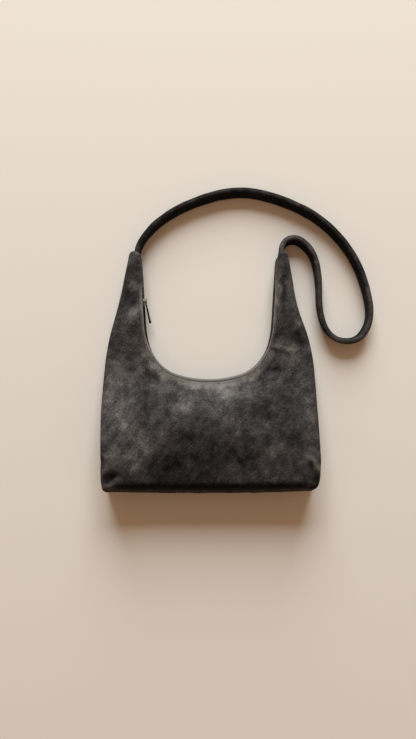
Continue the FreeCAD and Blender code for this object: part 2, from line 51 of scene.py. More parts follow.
# Plan of the body. Each side's outer edge goes through its own places, because the soft bag lies a little
# unevenly: from the base round the corner and up to the horn.
BASE_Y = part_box("base_panel")[0].y
TIP_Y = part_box("front_panel")[1].y
BASE_BOW = 0.0056           # the middle of the base stands out past its corners
BASE_BULGE = 0.0075         # the filled base panel stands out past its seam with the front
TIP_ROUND = 0.0053
TIP_WALL_Y = TIP_Y - TIP_ROUND
RIGHT_SIDE = [
    (0.1290, BASE_Y - 0.0023),
    (0.1417, BASE_Y + 0.0100),
    (0.1430, -0.1245),
    (0.1428, -0.1080),
    (0.1399, -0.0310),
    (0.1386, 0.0),
    (0.1243, 0.0630),
    (0.1117, 0.1100),
    (0.1036, TIP_WALL_Y),
]
LEFT_SIDE = [
    (0.1319, BASE_Y - 0.0033),
    (0.13885, BASE_Y + 0.0040),
    (0.1393, -0.0750),
    (0.1375, 0.0),
    (0.1259, 0.0630),
    (0.1140, 0.1100),
    (0.1052, TIP_WALL_Y),
]
CORNER_POINTS = 2           # how many of those points the base and its corner take up
U_BOTTOM_Y = TIP_Y - 0.1688
U_POINTS = [
    (0.0420, U_BOTTOM_Y + 0.0066),
    (0.0645, U_BOTTOM_Y + 0.0211),
    (0.0800, U_BOTTOM_Y + 0.0508),
    (0.0833, U_BOTTOM_Y + 0.0738),
]

# Suede, hems and seams
SUEDE_T = 0.0012
HEM_R = 0.0013              # a turned edge is two layers of suede round this radius
HEM_DEPTH = 0.007
HEM_CUT = 0.005             # its under layer is cut back this far at the tips
FRONT_PULL = 0.0024         # the front's turned edge is drawn back this far along the horns
BACK_PULL = 0.0011
STITCH_LINE = 0.004         # from a turned edge
STITCH_PITCH = 0.0034
STITCH_LENGTH = 0.0025
STITCH_GROOVE = 0.0003      # the stitches draw the suede in this far
STITCH_PUFF = 0.0002        # and it stands up this far beside them
THREAD_R = 0.00032
SEAM_ALLOWANCE = 0.003
SEAM_GROOVE = 0.0011        # between the panel and the wall, where their seam draws in
SEAM_STEP = 0.0008          # a panel's allowance is turned in this far behind its outside
WALL_TUCK = 0.0012          # the walls start this far under the panels' seams
WALL_INSET = 0.0008
WALL_SAG = 0.0010           # the middle of a wall lies this far in
WALL_WAVES = 0.0008         # and waves in and out by this much
WALL_PUCKERS = 0.0004
ROLL_WIDTH = 0.0075         # of the front's rolled edge at the sides
ROLL_DROP = 0.0065
BACK_ROLL = 0.004           # the back panel curves up this far to its seam
BACK_ROLL_WIDTH = 0.006
FULL_RIB = 0.030            # hems and rolled edges shrink where the body is narrower than this
RIBS_EACH_SIDE = 170
EDGE_ROWS_EACH_SIDE = 220

# Depth of the body, from the floor
HORN_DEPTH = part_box("horn_facing_left")[1].z + 0.0016
CROWN_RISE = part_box("front_panel")[1].z - HORN_DEPTH + 0.0015

# Zip
ZIP_Z = HORN_DEPTH / 2
ZIP_WINDOW = 0.0115
ZIP_FROM_TIP = 0.044
AT_TEETH = (ZIP_Z, ZIP_Z)
FACING_INSET = 0.0010
FACING_T = 0.0007
FACING_FOLD = 0.0008        # radius of a facing's fold beside the zip
FACING_TURN = 0.003
HORN_FACING_T = 0.001
TAPE_INSET = 0.0024
TAPE_T = 0.0007
TAPE_EDGE = 0.0013
TAPE_TAIL = 0.008
TAPE_DEPTH = 0.004          # the tapes end this far inside the panels
TAPE_CLEARANCE = 0.0006     # the tapes stand upright this far past the slider

# Lining
LINING_T = 0.0004
LINING_DEPTH = 0.0042       # under the front's outside
LINING_HEIGHT = 0.0034      # over the floor
LINING_FROM_U = 0.0045
LINING_FROM_SEAM = 0.0060


def smooth(low, high, value):
    """0 below low, 1 above high and an eased rise between them."""
    share = np.clip((value - low) / (high - low), 0.0, 1.0)
    return share * share * (3 - 2 * share)


def bell(value, width):
    """1 at zero, falling away over that width."""
    return np.exp(-(value / width) ** 2)


# Plan curves, as complex numbers
def tangent_legs(start, heading, points):
    """A curve of arcs from start through the points, each tangent to the one before."""
    legs = []
    for point in points:
        chord = complex(*point) - start
        half = cmath.phase(chord / cmath.rect(1, heading))
        stretch = half / math.sin(half) if abs(half) > 1e-9 else 1.0
        legs.append((start, heading, abs(chord) * stretch, 2 * half))
        start = complex(*point)
        heading += 2 * half
    return legs


def legs_length(legs):
    return sum(leg[2] for leg in legs)


def walk(legs, distance):
    """The point and heading at a distance along a curve."""
    for leg in legs:
        start, heading, length, turn = leg
        if distance <= length or leg is legs[-1]:
            share = distance / length
            half = turn * share / 2
            shrink = math.sin(half) / half if abs(half) > 1e-9 else 1.0
            return start + cmath.rect(length * share * shrink, heading + half), heading + 2 * half
        distance -= length


def u_legs():
    """The right half of the U, from its lowest point up the horn's inner side."""
    legs = tangent_legs(complex(0, U_BOTTOM_Y), 0.0, U_POINTS)
    top, heading = walk(legs, legs_length(legs))
    legs.append((top, heading, (TIP_WALL_Y - top.imag) / math.sin(heading), 0.0))
    return legs


BASE_MIDDLE = complex(0, BASE_Y - BASE_BOW)
U_EDGE = u_legs()
U_LENGTH = legs_length(U_EDGE)


def stations(legs, distances):
    """Points along a curve and the direction to its left at each, which is into the bag on the outer edge
    and out of it on the U."""
    found = [walk(legs, distance) for distance in distances]
    points = np.array([point for point, heading in found])
    left = np.array([1j * cmath.rect(1, heading) for point, heading in found])
    return points, left


def mirrored(row):
    """A row on the right as the same row on the left."""
    return -np.conj(row)


def joined(left, right):
    """Two rows that start at the middle, as one row from the left tip to the right one."""
    return np.concatenate([left[:0:-1], right])


# Ribs cross the body from the U to the outer edge. Each pair is a place along the U and one along the outer
# edge, as a share of its length, both from the middle of the bag. The middles say how far along the body each
# pair's rib lies, so that the ribs between the pairs are evenly spaced.
RIB_PAIRS = [(0.0, 0.0), (0.0464, 0.21), (0.0726, 0.335), (0.1056, 0.583), (0.160, 0.812), (U_LENGTH, 1.0)]
RIB_MIDDLES = [0.0, 0.071, 0.111, 0.184, 0.262, 0.335]


def side_legs(points):
    """One side's outer edge, from the middle of the base through the points."""
    return tangent_legs(BASE_MIDDLE, 0.0, points)


def side_ribs(points):
    """Starts, ends and inward directions of one side's ribs, and how far along the edge each ends."""
    legs = side_legs(points)
    length = legs_length(legs)
    rows = np.linspace(0, RIB_MIDDLES[-1], RIBS_EACH_SIDE + 1)
    u_at = np.interp(rows, RIB_MIDDLES, [pair[0] for pair in RIB_PAIRS])
    outer_at = length * np.interp(rows, RIB_MIDDLES, [pair[1] for pair in RIB_PAIRS])
    starts, out_of_bag = stations(U_EDGE, u_at)
    ends, inwards = stations(legs, outer_at)
    return starts, -out_of_bag, ends, inwards, outer_at


def all_ribs():
    right = side_ribs(RIGHT_SIDE)
    left = side_ribs(LEFT_SIDE)
    rows = [joined(mirrored(a), b) for a, b in zip(left[:4], right[:4])]
    return (*rows, joined(-left[4], right[4]))


RIB_STARTS, RIB_INWARDS, RIB_ENDS, RIB_END_INWARDS, RIB_SEAM_AT = all_ribs()
RIB_LENGTHS = np.abs(RIB_ENDS - RIB_STARTS)
RIB_SHRINK = np.minimum(1.0, RIB_LENGTHS / FULL_RIB)


def edge_rows(points, rows):
    """Points, inward directions and distances along one side's outer edge, from the base to the horn."""
    legs = side_legs(points)
    distances = np.linspace(0, legs_length(legs), rows + 1)
    line, inwards = stations(legs, distances)
    return line, inwards, distances


def outer_edge(rows):
    right = edge_rows(RIGHT_SIDE, rows)
    left = edge_rows(LEFT_SIDE, rows)
    line = joined(mirrored(left[0]), right[0])
    inwards = joined(mirrored(left[1]), right[1])
    return line, inwards, joined(-left[2], right[2])


def u_edge(rows):
    """Points of the U, the direction into the bag and the distance from the middle, from left to right."""
    distances = np.linspace(0, U_LENGTH, rows + 1)
    line, out_of_bag = stations(U_EDGE, distances)
    inwards = -out_of_bag
    return joined(mirrored(line), line), joined(mirrored(inwards), inwards), joined(-distances, distances)


def base_overhang(along):
    """How far the base panel bulges out past the front's seam, at distances along the outer edge from the
    base's middle."""
    return BASE_BULGE * (1 - smooth(0.118, 0.158, np.abs(along)))


FRONT_ENDS = RIB_ENDS + RIB_END_INWARDS * base_overhang(RIB_SEAM_AT)
SEAM_LINE, SEAM_INWARDS, SEAM_ALONG = outer_edge(900)
FRONT_SEAM_LINE = SEAM_LINE + SEAM_INWARDS * base_overhang(SEAM_ALONG)


def nearest(points, line):
    """The distance of each point from a line through a row of places."""
    flat = points.ravel()
    found = np.empty(len(flat))
    runs = np.diff(line)
    for first in range(0, len(flat), 2000):
        part = flat[first:first + 2000]
        closest = np.abs(part[:, None] - line[None, :]).argmin(axis=1)
        sides = []
        for run in (np.maximum(closest - 1, 0), np.minimum(closest, len(runs) - 1)):
            share = np.clip(((part - line[run]) / runs[run]).real, 0, 1)
            sides.append(np.abs(part - line[run] - share * runs[run]))
        found[first:first + 2000] = np.minimum(*sides)
    return found.reshape(points.shape)


def leftness(places):
    """1 on the left half, 0 on the right one and eased between, in the middle of the U."""
    return smooth(0.02, -0.02, places.real)


def front_pull(places):
    """How far the front's turned edge is drawn back from the zip: along the horns, more on the left."""
    along_zip = smooth(0.015, 0.055, places.imag) * (1 - smooth(0.102, 0.118, places.imag))
    return FRONT_PULL * along_zip * (0.45 + 0.55 * leftness(places))


def back_pull(places):
    return BACK_PULL * (0.2 + 0.8 * leftness(places))


def tip_drop(places):
    """How far a horn's inner corner slopes down at its tip, more on the right."""
    return (0.0065 - 0.0035 * leftness(places)) * (1 - smooth(0.0, 0.014, TIP_WALL_Y - places.imag))


def on_ribs(from_u, from_seam, middle_rows, starts, ends):
    """Plan points along every rib: at given distances from the U, evenly, then at distances from the seam.

    A narrow horn has no room for the full distances, so there they shrink with the rib."""
    shrink = RIB_SHRINK[:, None]
    across = ends - starts
    length = np.abs(across)[:, None]
    near = np.array(from_u)[None, :] * shrink / length
    far = 1 - np.array(from_seam)[None, :] * shrink / length
    steps = np.linspace(0, 1, middle_rows + 2)[None, 1:-1]
    middle = near[:, -1:] + (far[:, :1] - near[:, -1:]) * steps
    share = np.concatenate([near, middle, far], axis=1)
    straight = starts[:, None] + across[:, None] * share
    bow = 1 - smooth(0.0, 0.016, TIP_WALL_Y - straight.imag)
    crest = (4 * share * (1 - share)) ** 0.8
    return straight + 1j * (TIP_ROUND * bow * crest - tip_drop(straight) * (1 - share) ** 2)


def soft_noise(plan, size, seed):
    """Smooth noise with swells of about that size, from -1 to 1."""
    turned = plan.ravel() * cmath.rect(1 / size, 0.6)
    flat = [noise.noise(Vector((p.real, p.imag, seed))) for p in turned]
    return np.array(flat).reshape(plan.shape)


# Shape of the front
def dent(plan, place, width, length, turn):
    """A soft oval bell at a place, with its half sizes in metres and its turn in degrees."""
    local = (plan - complex(*place)) / cmath.rect(1, math.radians(turn))
    return np.exp(-(local.real / width) ** 2 - (local.imag / length) ** 2)


def crease(plan, start, end, width):
    """A soft fold along a line between two places, fading out at both of its ends."""
    start = complex(*start)
    run = complex(*end) - start
    share = ((plan - start) / run).real
    away = ((plan - start) * abs(run) / run).imag
    fade = smooth(-0.25, 0.2, share) * (1 - smooth(0.8, 1.25, share))
    return fade * bell(away, width)


def front_crown(plan):
    """Height of the front panel before its edges roll: a crown that fills the body, with its ridge near the U
    in the middle and near the base at the sides."""
    side = np.abs(plan.real)
    start = U_BOTTOM_Y - 0.003 + 0.043 * smooth(0.035, 0.105, side)
    ridge = -0.090 - 0.036 * smooth(0.02, 0.125, side)
    climb = np.clip((start - plan.imag) / (start - ridge), 0, 1)
    foot = 0.12 + 0.30 * smooth(0.03, 0.10, side)
    rise = np.where(climb < foot, climb ** 2 / foot, 1 - (1 - climb) ** 2 / (1 - foot))
    fall = np.clip((ridge - plan.imag) / (ridge - BASE_Y), 0, 1)
    return HORN_DEPTH + CROWN_RISE * rise - 0.0025 * fall ** 2


# Creases of the filled front: both ends, half width, and height, below zero where they go in
CREASES = [
    ((-0.047, -0.090), (-0.074, -0.126), 0.006, -0.0020),
    ((0.021, -0.094), (0.041, -0.122), 0.005, -0.0014),
    ((0.1185, -0.1080), (0.1365, -0.1165), 0.0046, 0.0017),
]
# Its dents and swells, at the lower corners and sides: place, half sizes, turn in degrees, height
DENTS = [
    ((-0.1240, -0.1362), 0.0085, 0.0044, 5, -0.0062),
    ((-0.1335, -0.1285), 0.0045, 0.0060, -30, 0.0020),
    ((-0.1265, -0.1470), 0.0110, 0.0045, 0, 0.0012),
    ((0.1275, -0.1275), 0.0090, 0.0075, -35, -0.0020),
    ((0.1400, -0.1030), 0.006, 0.004, -20, -0.0016),
    ((-0.1380, -0.1180), 0.006, 0.005, 20, -0.0016),
]


def front_folds(plan):
    """The soft folds and dents that the filled suede shows, added to the crown."""
    folds = np.zeros(plan.shape)
    for start, end, width, height in CREASES:
        folds += height * crease(plan, start, end, width)
    for place, width, length, turn, height in DENTS:
        folds += height * dent(plan, place, width, length, turn)
    folds += 0.0009 * soft_noise(plan, 0.042, 1.0)
    folds += 0.0004 * soft_noise(plan, 0.016, 5.0)
    return folds


def puffed_corner(plan):
    """1 in the middle of the front's left lower corner, which its filling puffs up, and less round it."""
    return dent(plan, (-0.1300, -0.1500), 0.0170, 0.0220, 0)


def front_roll(plan, shrink):
    """Width and drop of the front panel's rolled edge: slim at the sides, long and deep over the base, but
    not at its left corner, which is puffed up."""
    at_base = smooth(-0.095, -0.150, plan.imag) * (1 - 0.75 * puffed_corner(plan))
    middle = 1 - smooth(0.050, 0.125, np.abs(plan.real))
    width = ROLL_WIDTH * shrink + at_base * (0.003 + 0.002 * middle)
    drop = ROLL_DROP * shrink + at_base * (0.005 + 0.003 * middle)
    return width, drop


def rolled(distance, width, drop):
    """How far a panel has curved away at a distance from its seam."""
    share = np.clip(1 - distance / width, 0, 1)
    return drop * (1 - np.sqrt(np.clip(1 - share ** 2, 0, 1)))


# Making pieces
def laid_sheet(name, points, nap_and_painted_light=None):
    """A grid primitive with its points laid at rows of places, smooth shaded. Its nap attribute says how much
    lighter or darker the suede is at each point: the pile brushed up or down, and painted shade and painted
    highlights."""
    rows, columns = points.shape[:2]
    bpy.ops.mesh.primitive_grid_add(x_subdivisions=columns - 1, y_subdivisions=rows - 1, size=2)
    piece = bpy.context.object
    piece.name = name
    piece.data.name = name
    flat = np.empty(len(piece.data.vertices) * 3)
    piece.data.vertices.foreach_get("co", flat)
    grid = flat.reshape(-1, 3)
    column = np.rint((grid[:, 0] + 1) / 2 * (columns - 1)).astype(int)
    row = np.rint((grid[:, 1] + 1) / 2 * (rows - 1)).astype(int)
    piece.data.vertices.foreach_set("co", points[row, column].ravel())
    if nap_and_painted_light is not None:
        values = piece.data.attributes.new("nap_and_painted_light", "FLOAT", "POINT")
        values.data.foreach_set("value", nap_and_painted_light[row, column])
    piece.data.update()
    bpy.ops.object.shade_smooth()
    bpy.ops.object.select_all(action="DESELECT")
    return piece


def thicken(piece, thickness):
    """Gives a sheet its thickness, inwards from the side it was laid on."""
    bpy.context.view_layer.objects.active = piece
    solid = piece.modifiers.new("thickness", "SOLIDIFY")
    solid.thickness = thickness
    solid.offset = -1
    bpy.ops.object.modifier_apply(modifier=solid.name)
    return piece


def spatial(plan, height):
    """Plan points and their heights, as places."""
    return np.stack([plan.real, plan.imag, height + 0 * plan.real], axis=-1)


FOLD = np.radians(np.arange(-90, 91, 30))
HEM_UNDER = [HEM_DEPTH, 0.005, 0.003]
HEM_TOP = [0.0019, 0.0026, 0.0033, 0.0037, STITCH_LINE, 0.0043, 0.0047, 0.0054, 0.0065, 0.008]
FROM_U = HEM_UNDER + list(HEM_R * (1 - np.cos(FOLD))) + HEM_TOP
HEM_TURN = [0.0] * len(HEM_UNDER) + list((1 + np.sin(FOLD)) / 2) + [1.0] * len(HEM_TOP)
ROLL_REACH = 0.0085         # rows are close together this near to the seam
FROM_SEAM = list(ROLL_REACH * (1 - np.cos(np.radians(np.arange(90, -1, -9)))))
MIDDLE_ROWS = 48
PAST_FOLD = len(HEM_UNDER) + len(FOLD)
STITCH_ROW = FROM_U.index(STITCH_LINE)
TIP_ROWS = 4


def tip_curl(plan):
    """The panels' ends over the horn tips curl down like the turned edges, from where the hem lets them."""
    curl = np.zeros(plan.shape)
    curl[:TIP_ROWS] = rolled(nearest(plan[:TIP_ROWS], plan[0]), HEM_R, HEM_R)
    curl[-TIP_ROWS:] = rolled(nearest(plan[-TIP_ROWS:], plan[-1]), HEM_R, HEM_R)
    curl[:, :PAST_FOLD] = 0
    curl[:, PAST_FOLD:len(FROM_U)] *= smooth(HEM_R, 0.006, np.array(HEM_TOP))[None, :]
    return curl


def panel_plan(starts, ends):
    """Plan of a panel's rows, and how far each is over its turned edge. The hem's under layer is cut back at
    the tips."""
    plan = on_ribs(FROM_U, FROM_SEAM, MIDDLE_ROWS, starts, ends)
    turn = np.array(HEM_TURN + [1.0] * (MIDDLE_ROWS + len(FROM_SEAM)))[None, :]
    under = len(HEM_UNDER)
    at_tip = 1 - smooth(0.0, 0.012, TIP_WALL_Y - plan[:, :under].imag)
    plan[:, :under] -= 1j * HEM_CUT * at_tip
    return plan, turn


def hem_profile(plan, turn):
    """Depth below the panel's outside: the hem's under layer, and the line that its stitches draw in."""
    from_stitches = nearest(plan, plan[:, STITCH_ROW])
    drawn_in = STITCH_GROOVE * bell(from_stitches, 0.0006)
    puffed = STITCH_PUFF * bell(from_stitches - 0.0017 * RIB_SHRINK[:, None], 0.0012)
    return 2 * HEM_R * (1 - turn) + (drawn_in - puffed) * (turn == 1) + tip_curl(plan)


FRONT_STARTS = RIB_STARTS + RIB_INWARDS * front_pull(RIB_STARTS)
BACK_STARTS = RIB_STARTS + RIB_INWARDS * back_pull(RIB_STARTS)


def front_outside(plan):
    """Height of the front's outside at any place, without its hem."""
    shrink = RIB_SHRINK[:, None]
    width, drop = front_roll(plan, shrink)
    height = front_crown(plan) - rolled(nearest(plan, FRONT_SEAM_LINE), width, drop)
    return height + front_folds(plan) * smooth(0.0, 0.012, nearest(plan, FRONT_STARTS))


def front_points():
    """Plan and height of the front panel's rows, without its seam allowance."""
    plan, turn = panel_plan(FRONT_STARTS, FRONT_ENDS)
    return plan, front_outside(plan) - hem_profile(plan, turn)


FRONT_PLAN, FRONT_HEIGHT = front_points()
FRONT_SEAM = FRONT_HEIGHT[:, -1]
BACK_SEAM = BACK_ROLL * RIB_SHRINK


def with_allowance(plan, height, step):
    """Adds the strip inside the seam, where the panel is turned in and sewn."""
    across = (RIB_STARTS - RIB_ENDS) / RIB_LENGTHS
    first = plan[:, -1:] + across[:, None] * SEAM_GROOVE
    second = plan[:, -1:] + across[:, None] * SEAM_ALLOWANCE
    plan = np.concatenate([plan, first, second], axis=1)
    height = np.concatenate([height, height[:, -1:] + step, height[:, -1:] + step], axis=1)
    return plan, height


# Where the front is painted lighter (+) or darker (-), mostly the pile's brushed patches, with painted shade
# in some dents and creases and painted highlights on their rims and ridges: place, half sizes, turn in
# degrees, how much
NAP_AND_PAINTED_LIGHT_PATCHES = [
    ((-0.0965, 0.1310), 0.006, 0.010, 0, -0.28),
    ((-0.0985, 0.1130), 0.008, 0.007, 0, 0.35),
    ((-0.1050, 0.0945), 0.007, 0.009, 0, -0.45),
    ((-0.0990, 0.0760), 0.009, 0.010, 0, 0.72),
    ((-0.1090, 0.0680), 0.008, 0.006, 0, 0.30),
    ((-0.1190, 0.0590), 0.006, 0.008, 0, -0.25),
    ((-0.0980, 0.0510), 0.009, 0.008, 0, -0.20),
    ((-0.1150, 0.0066), 0.010, 0.012, 0, 0.40),
    ((-0.1050, 0.0105), 0.006, 0.012, 0, -0.35),
    ((-0.0890, 0.0158), 0.006, 0.012, 25, 0.25),
    ((-0.0740, 0.0000), 0.010, 0.006, -30, -0.40),
    ((-0.1260, -0.0300), 0.008, 0.020, 0, 0.30),
    ((-0.1365, -0.0690), 0.009, 0.026, 0, 0.38),
    ((-0.1370, -0.1130), 0.005, 0.010, 0, -0.28),
    ((-0.1090, -0.0650), 0.014, 0.026, 0, 0.40),
    ((-0.0850, -0.0550), 0.008, 0.014, 0, -0.30),
    ((-0.0620, -0.0330), 0.010, 0.008, 0, 0.34),
    ((-0.0960, -0.0230), 0.008, 0.010, 0, -0.25),
    ((-0.0800, -0.0940), 0.016, 0.018, 40, 0.20),
    ((-0.1090, -0.1060), 0.016, 0.012, 0, 0.20),
    ((-0.0960, -0.1270), 0.014, 0.005, 0, 0.20),
    ((-0.0730, -0.1230), 0.012, 0.010, 30, -0.28),
    ((-0.0690, -0.1370), 0.014, 0.011, 0, -0.60),
    ((-0.1000, -0.1430), 0.012, 0.006, 0, -0.25),
    # the next four: painted shade in the lower left corner's dent, and painted highlights on its rim and
    # lower lip
    ((-0.1240, -0.1365), 0.0085, 0.0038, 5, -0.80),
    ((-0.1350, -0.1290), 0.004, 0.006, -20, 0.75),
    ((-0.1350, -0.1410), 0.005, 0.009, 0, 0.45),
    ((-0.1265, -0.1475), 0.011, 0.004, 0, 0.45),
    ((-0.1120, -0.0820), 0.003, 0.020, -15, 0.20),
    ((0.0227, -0.0285), 0.016, 0.008, 10, 0.50),
    ((-0.0370, -0.0470), 0.009, 0.010, 40, 0.45),
    ((-0.0100, -0.0190), 0.036, 0.008, 0, 0.50),
    ((-0.0285, -0.0810), 0.020, 0.012, 0, -0.40),
    ((-0.0500, -0.1190), 0.022, 0.014, 0, -0.32),
    ((-0.0030, -0.1160), 0.034, 0.018, 0, -0.18),
    ((-0.0120, -0.1410), 0.024, 0.009, 0, -0.32),
    # painted shade along the right crease
    ((0.0342, -0.1116), 0.0022, 0.013, 34, -0.45),
    ((-0.0050, -0.1080), 0.070, 0.030, 0, -0.30),
    ((0.0350, -0.0760), 0.012, 0.010, 60, 0.15),
    ((0.0520, -0.1020), 0.008, 0.014, 0, -0.30),
    ((0.0100, -0.0620), 0.016, 0.008, 20, -0.15),
    ((0.0350, -0.0530), 0.012, 0.014, 0, -0.15),
    ((0.0520, -0.0130), 0.012, 0.007, 20, 0.22),
    ((0.0850, -0.0230), 0.006, 0.006, 0, 0.35),
    ((0.0860, -0.1000), 0.013, 0.009, 20, 0.45),
    # the next two: painted highlights along the right corner's fold ridge
    ((0.1290, -0.1125), 0.011, 0.0035, -25, 0.45),
    ((0.1395, -0.1235), 0.004, 0.009, 10, 0.85),
    ((0.1400, -0.1410), 0.006, 0.011, 0, 0.60),
    ((0.0950, -0.0650), 0.030, 0.045, 0, -0.14),
    # painted shade in the right corner's dent
    ((0.1285, -0.1280), 0.009, 0.007, -35, -0.15),
    ((0.0970, -0.1370), 0.011, 0.005, 0, 0.12),
    ((0.1080, -0.1310), 0.014, 0.010, 0, -0.28),
    ((0.1290, -0.1500), 0.010, 0.006, 0, 0.50),
    ((0.1140, -0.0040), 0.010, 0.008, 0, -0.30),
    ((0.1040, -0.0340), 0.014, 0.012, 0, -0.12),
    ((0.1290, -0.0740), 0.012, 0.030, 0, 0.28),
    ((0.0700, -0.0550), 0.012, 0.010, 0, -0.25),
    ((0.0990, 0.1270), 0.006, 0.012, 0, -0.25),
    ((0.0964, 0.1030), 0.0045, 0.016, 0, -0.45),
    ((0.0959, 0.0513), 0.006, 0.006, 0, -0.45),
    ((0.1160, 0.0437), 0.007, 0.008, 30, -0.55),
    ((0.1180, 0.0570), 0.005, 0.008, 20, 0.40),
    ((0.0970, 0.0330), 0.011, 0.004, -10, 0.35),
    ((0.0900, 0.0290), 0.009, 0.003, -20, -0.45),
    ((0.0820, 0.0027), 0.010, 0.005, -20, -0.40),
    ((0.1063, 0.0306), 0.006, 0.005, 0, 0.25),
    ((0.1130, -0.0065), 0.012, 0.006, 0, 0.20),
    ((0.0997, 0.0765), 0.006, 0.011, 0, -0.25),
    ((0.0905, 0.1080), 0.0035, 0.018, 0, 0.50),
    ((0.0905, 0.0850), 0.003, 0.014, 0, 0.35),
]


def front_nap_and_painted_light(plan):
    """How much lighter or darker the front is at each point: the pile's brushed patches, with painted shade
    and painted highlights at some dents and creases; a painted highlight along the turned hem, most on its
    fold and more widely round the U's bends; and painted shade on the roll over the base, which faces away
    from the light."""
    wandering = plan + 0
    for size, seed in ((0.030, 11.0), (0.012, 21.0)):
        wandering += 0.36 * size * (soft_noise(plan, size, seed) + 1j * soft_noise(plan, size, seed + 3))
    nap_and_painted_light = np.zeros(plan.shape)
    for place, width, length, turn, strength in NAP_AND_PAINTED_LIGHT_PATCHES:
        nap_and_painted_light += strength * dent(wandering, place, width, length, turn)
    from_edge = nearest(plan, FRONT_STARTS) / RIB_SHRINK[:, None]
    # painted highlight along the turned hem, most on its fold
    on_hem = 1 - smooth(0.0030, 0.0044, from_edge)
    on_fold = 1 - smooth(0.0008, 0.0018, from_edge)
    below_tip = 1 - 0.6 * smooth(0.104, 0.116, plan.imag)
    nap_and_painted_light += (0.35 * on_hem + 0.40 * on_fold) * below_tip
    # and a wider painted highlight along the hem round the U's bends
    at_bends = (0.35 + 0.65 * smooth(0.008, 0.034, np.abs(plan.real))) * (1 - smooth(0.005, 0.040, plan.imag))
    hem_band_highlight = 1 - smooth(0.007, 0.016, from_edge + 0.004 * soft_noise(plan, 0.012, 31.0))
    nap_and_painted_light += 0.65 * at_bends * hem_band_highlight
    # painted shade on the roll over the base, which faces away from the light, but not at the puffed left
    # corner
    base_roll_shade = (1 - smooth(0.004, 0.016, nearest(plan, FRONT_SEAM_LINE))) * smooth(-0.120, -0.140, plan.imag)
    return nap_and_painted_light - base_roll_shade * (1 - puffed_corner(plan))


def front_panel():
    plan, height = with_allowance(FRONT_PLAN, FRONT_HEIGHT, -SEAM_STEP)
    piece = laid_sheet("front_panel_suede", spatial(plan, height), front_nap_and_painted_light(plan))
    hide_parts("front_panel")
    return thicken(piece, SUEDE_T)


def back_points():
    plan, turn = panel_plan(BACK_STARTS, RIB_ENDS)
    shrink = RIB_SHRINK[:, None]
    height = rolled(nearest(plan, SEAM_LINE), BACK_ROLL_WIDTH * shrink, BACK_ROLL * shrink)
    return plan, np.maximum(height + hem_profile(plan, turn), 0)


BACK_PLAN, BACK_HEIGHT = back_points()


def back_panel():
    plan, height = with_allowance(BACK_PLAN, BACK_HEIGHT, SEAM_STEP)
    piece = laid_sheet("back_panel_suede", spatial(plan, height)[:, ::-1])
    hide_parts("back_panel")
    return thicken(piece, SUEDE_T)


def wall(name, node, first, last):
    """A strip of suede between the front and back panels' seams, from one distance along the edge to
    another. All its edges are turned in at the seams, which pucker it."""
    line, inwards, distances = outer_edge(EDGE_ROWS_EACH_SIDE)
    kept = (distances > first) & (distances < last)
    along = np.concatenate([[first], distances[kept], [last]])
    line = np.interp(along, distances, line)
    inwards = np.interp(along, distances, inwards)[:, None]
    top = np.interp(along, RIB_SEAM_AT, FRONT_SEAM)[:, None]
    low = np.interp(along, RIB_SEAM_AT, BACK_SEAM)[:, None]
    steps = np.concatenate([np.linspace(0, 0.25, 8), np.linspace(0.32, 1, 11)])[None, :]
    height = top - WALL_TUCK - (top - low - 2 * WALL_TUCK) * steps
    seams = bell(steps, 0.06) + bell(1 - steps, 0.06)
    ends = bell(along - first, 0.0016) + bell(along - last, 0.0016)
    unrolled = along[:, None] + 1j * height
    free = smooth(0.04, 0.30, steps) * smooth(0.04, 0.30, 1 - steps)
    sag = WALL_SAG * np.sin(math.pi * steps) + WALL_WAVES * free * soft_noise(unrolled, 0.022, 9.0)
    pucker = WALL_PUCKERS * free * soft_noise(unrolled, 0.007, 3.0)
    bulge = base_overhang(along)[:, None] * rolled(steps, 0.42, 1.0)
    inset = WALL_INSET + sag + pucker + bulge + SEAM_GROOVE * np.maximum(seams, ends[:, None])
    plan = line[:, None] + inwards * inset
    turned = inwards * SEAM_ALLOWANCE
    plan = np.concatenate([plan[:, :1] + turned, plan, plan[:, -1:] + turned], axis=1)
    height = np.concatenate([height[:, :1] + 0.0002, height, height[:, -1:] - 0.0002], axis=1)
    plan = np.concatenate([plan[:1] + turned[:1], plan, plan[-1:] + turned[-1:]])
    height = np.concatenate([height[:1], height, height[-1:]])
    piece = laid_sheet(name, spatial(plan, height))
    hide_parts(node)
    return thicken(piece, SUEDE_T)


def corner_at(points):
    """How far along the outer edge a side's corner ends, where its wall meets the base."""
    return legs_length(side_legs(points[:CORNER_POINTS]))


def walls():
    left = -corner_at(LEFT_SIDE)
    right = corner_at(RIGHT_SIDE)
    return [
        wall("side_wall_left_suede", "side_wall_left", RIB_SEAM_AT[0], left),
        wall("base_panel_suede", "base_panel", left, right),
        wall("side_wall_right_suede", "side_wall_right", right, RIB_SEAM_AT[-1]),
    ]


def lining():
    """The lining sack, which hangs inside the panels from zip tape to zip tape."""
    kept = np.maximum(RIB_STARTS.imag, RIB_ENDS.imag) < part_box("lining_wall")[1].y
    plan = on_ribs([LINING_FROM_U], [LINING_FROM_SEAM], 22, RIB_STARTS, FRONT_ENDS)
    upper = front_outside(plan) - LINING_DEPTH
    lower = np.full(plan.shape, LINING_HEIGHT)
    plan = np.concatenate([plan, plan[:, ::-1]], axis=1)[kept]
    height = np.concatenate([upper, lower[:, ::-1]], axis=1)[kept]
    piece = laid_sheet("lining_twill", spatial(plan, height))
    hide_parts("lining_front", "lining_back", "lining_wall")
    return thicken(piece, LINING_T)


# Strips round the U
def leaning(line, inwards, inset, height, upright):
    """A strip's places along a line at one height. Above and below its upright heights the strip leans back
    to the panels' turned edges, which are drawn back from the zip."""
    reach = inset + front_pull(line) * smooth(upright[1], HORN_DEPTH, height)
    reach += back_pull(line) * (1 - smooth(0, upright[0], height))
    return spatial(line + inwards * reach, np.full(len(line), height))


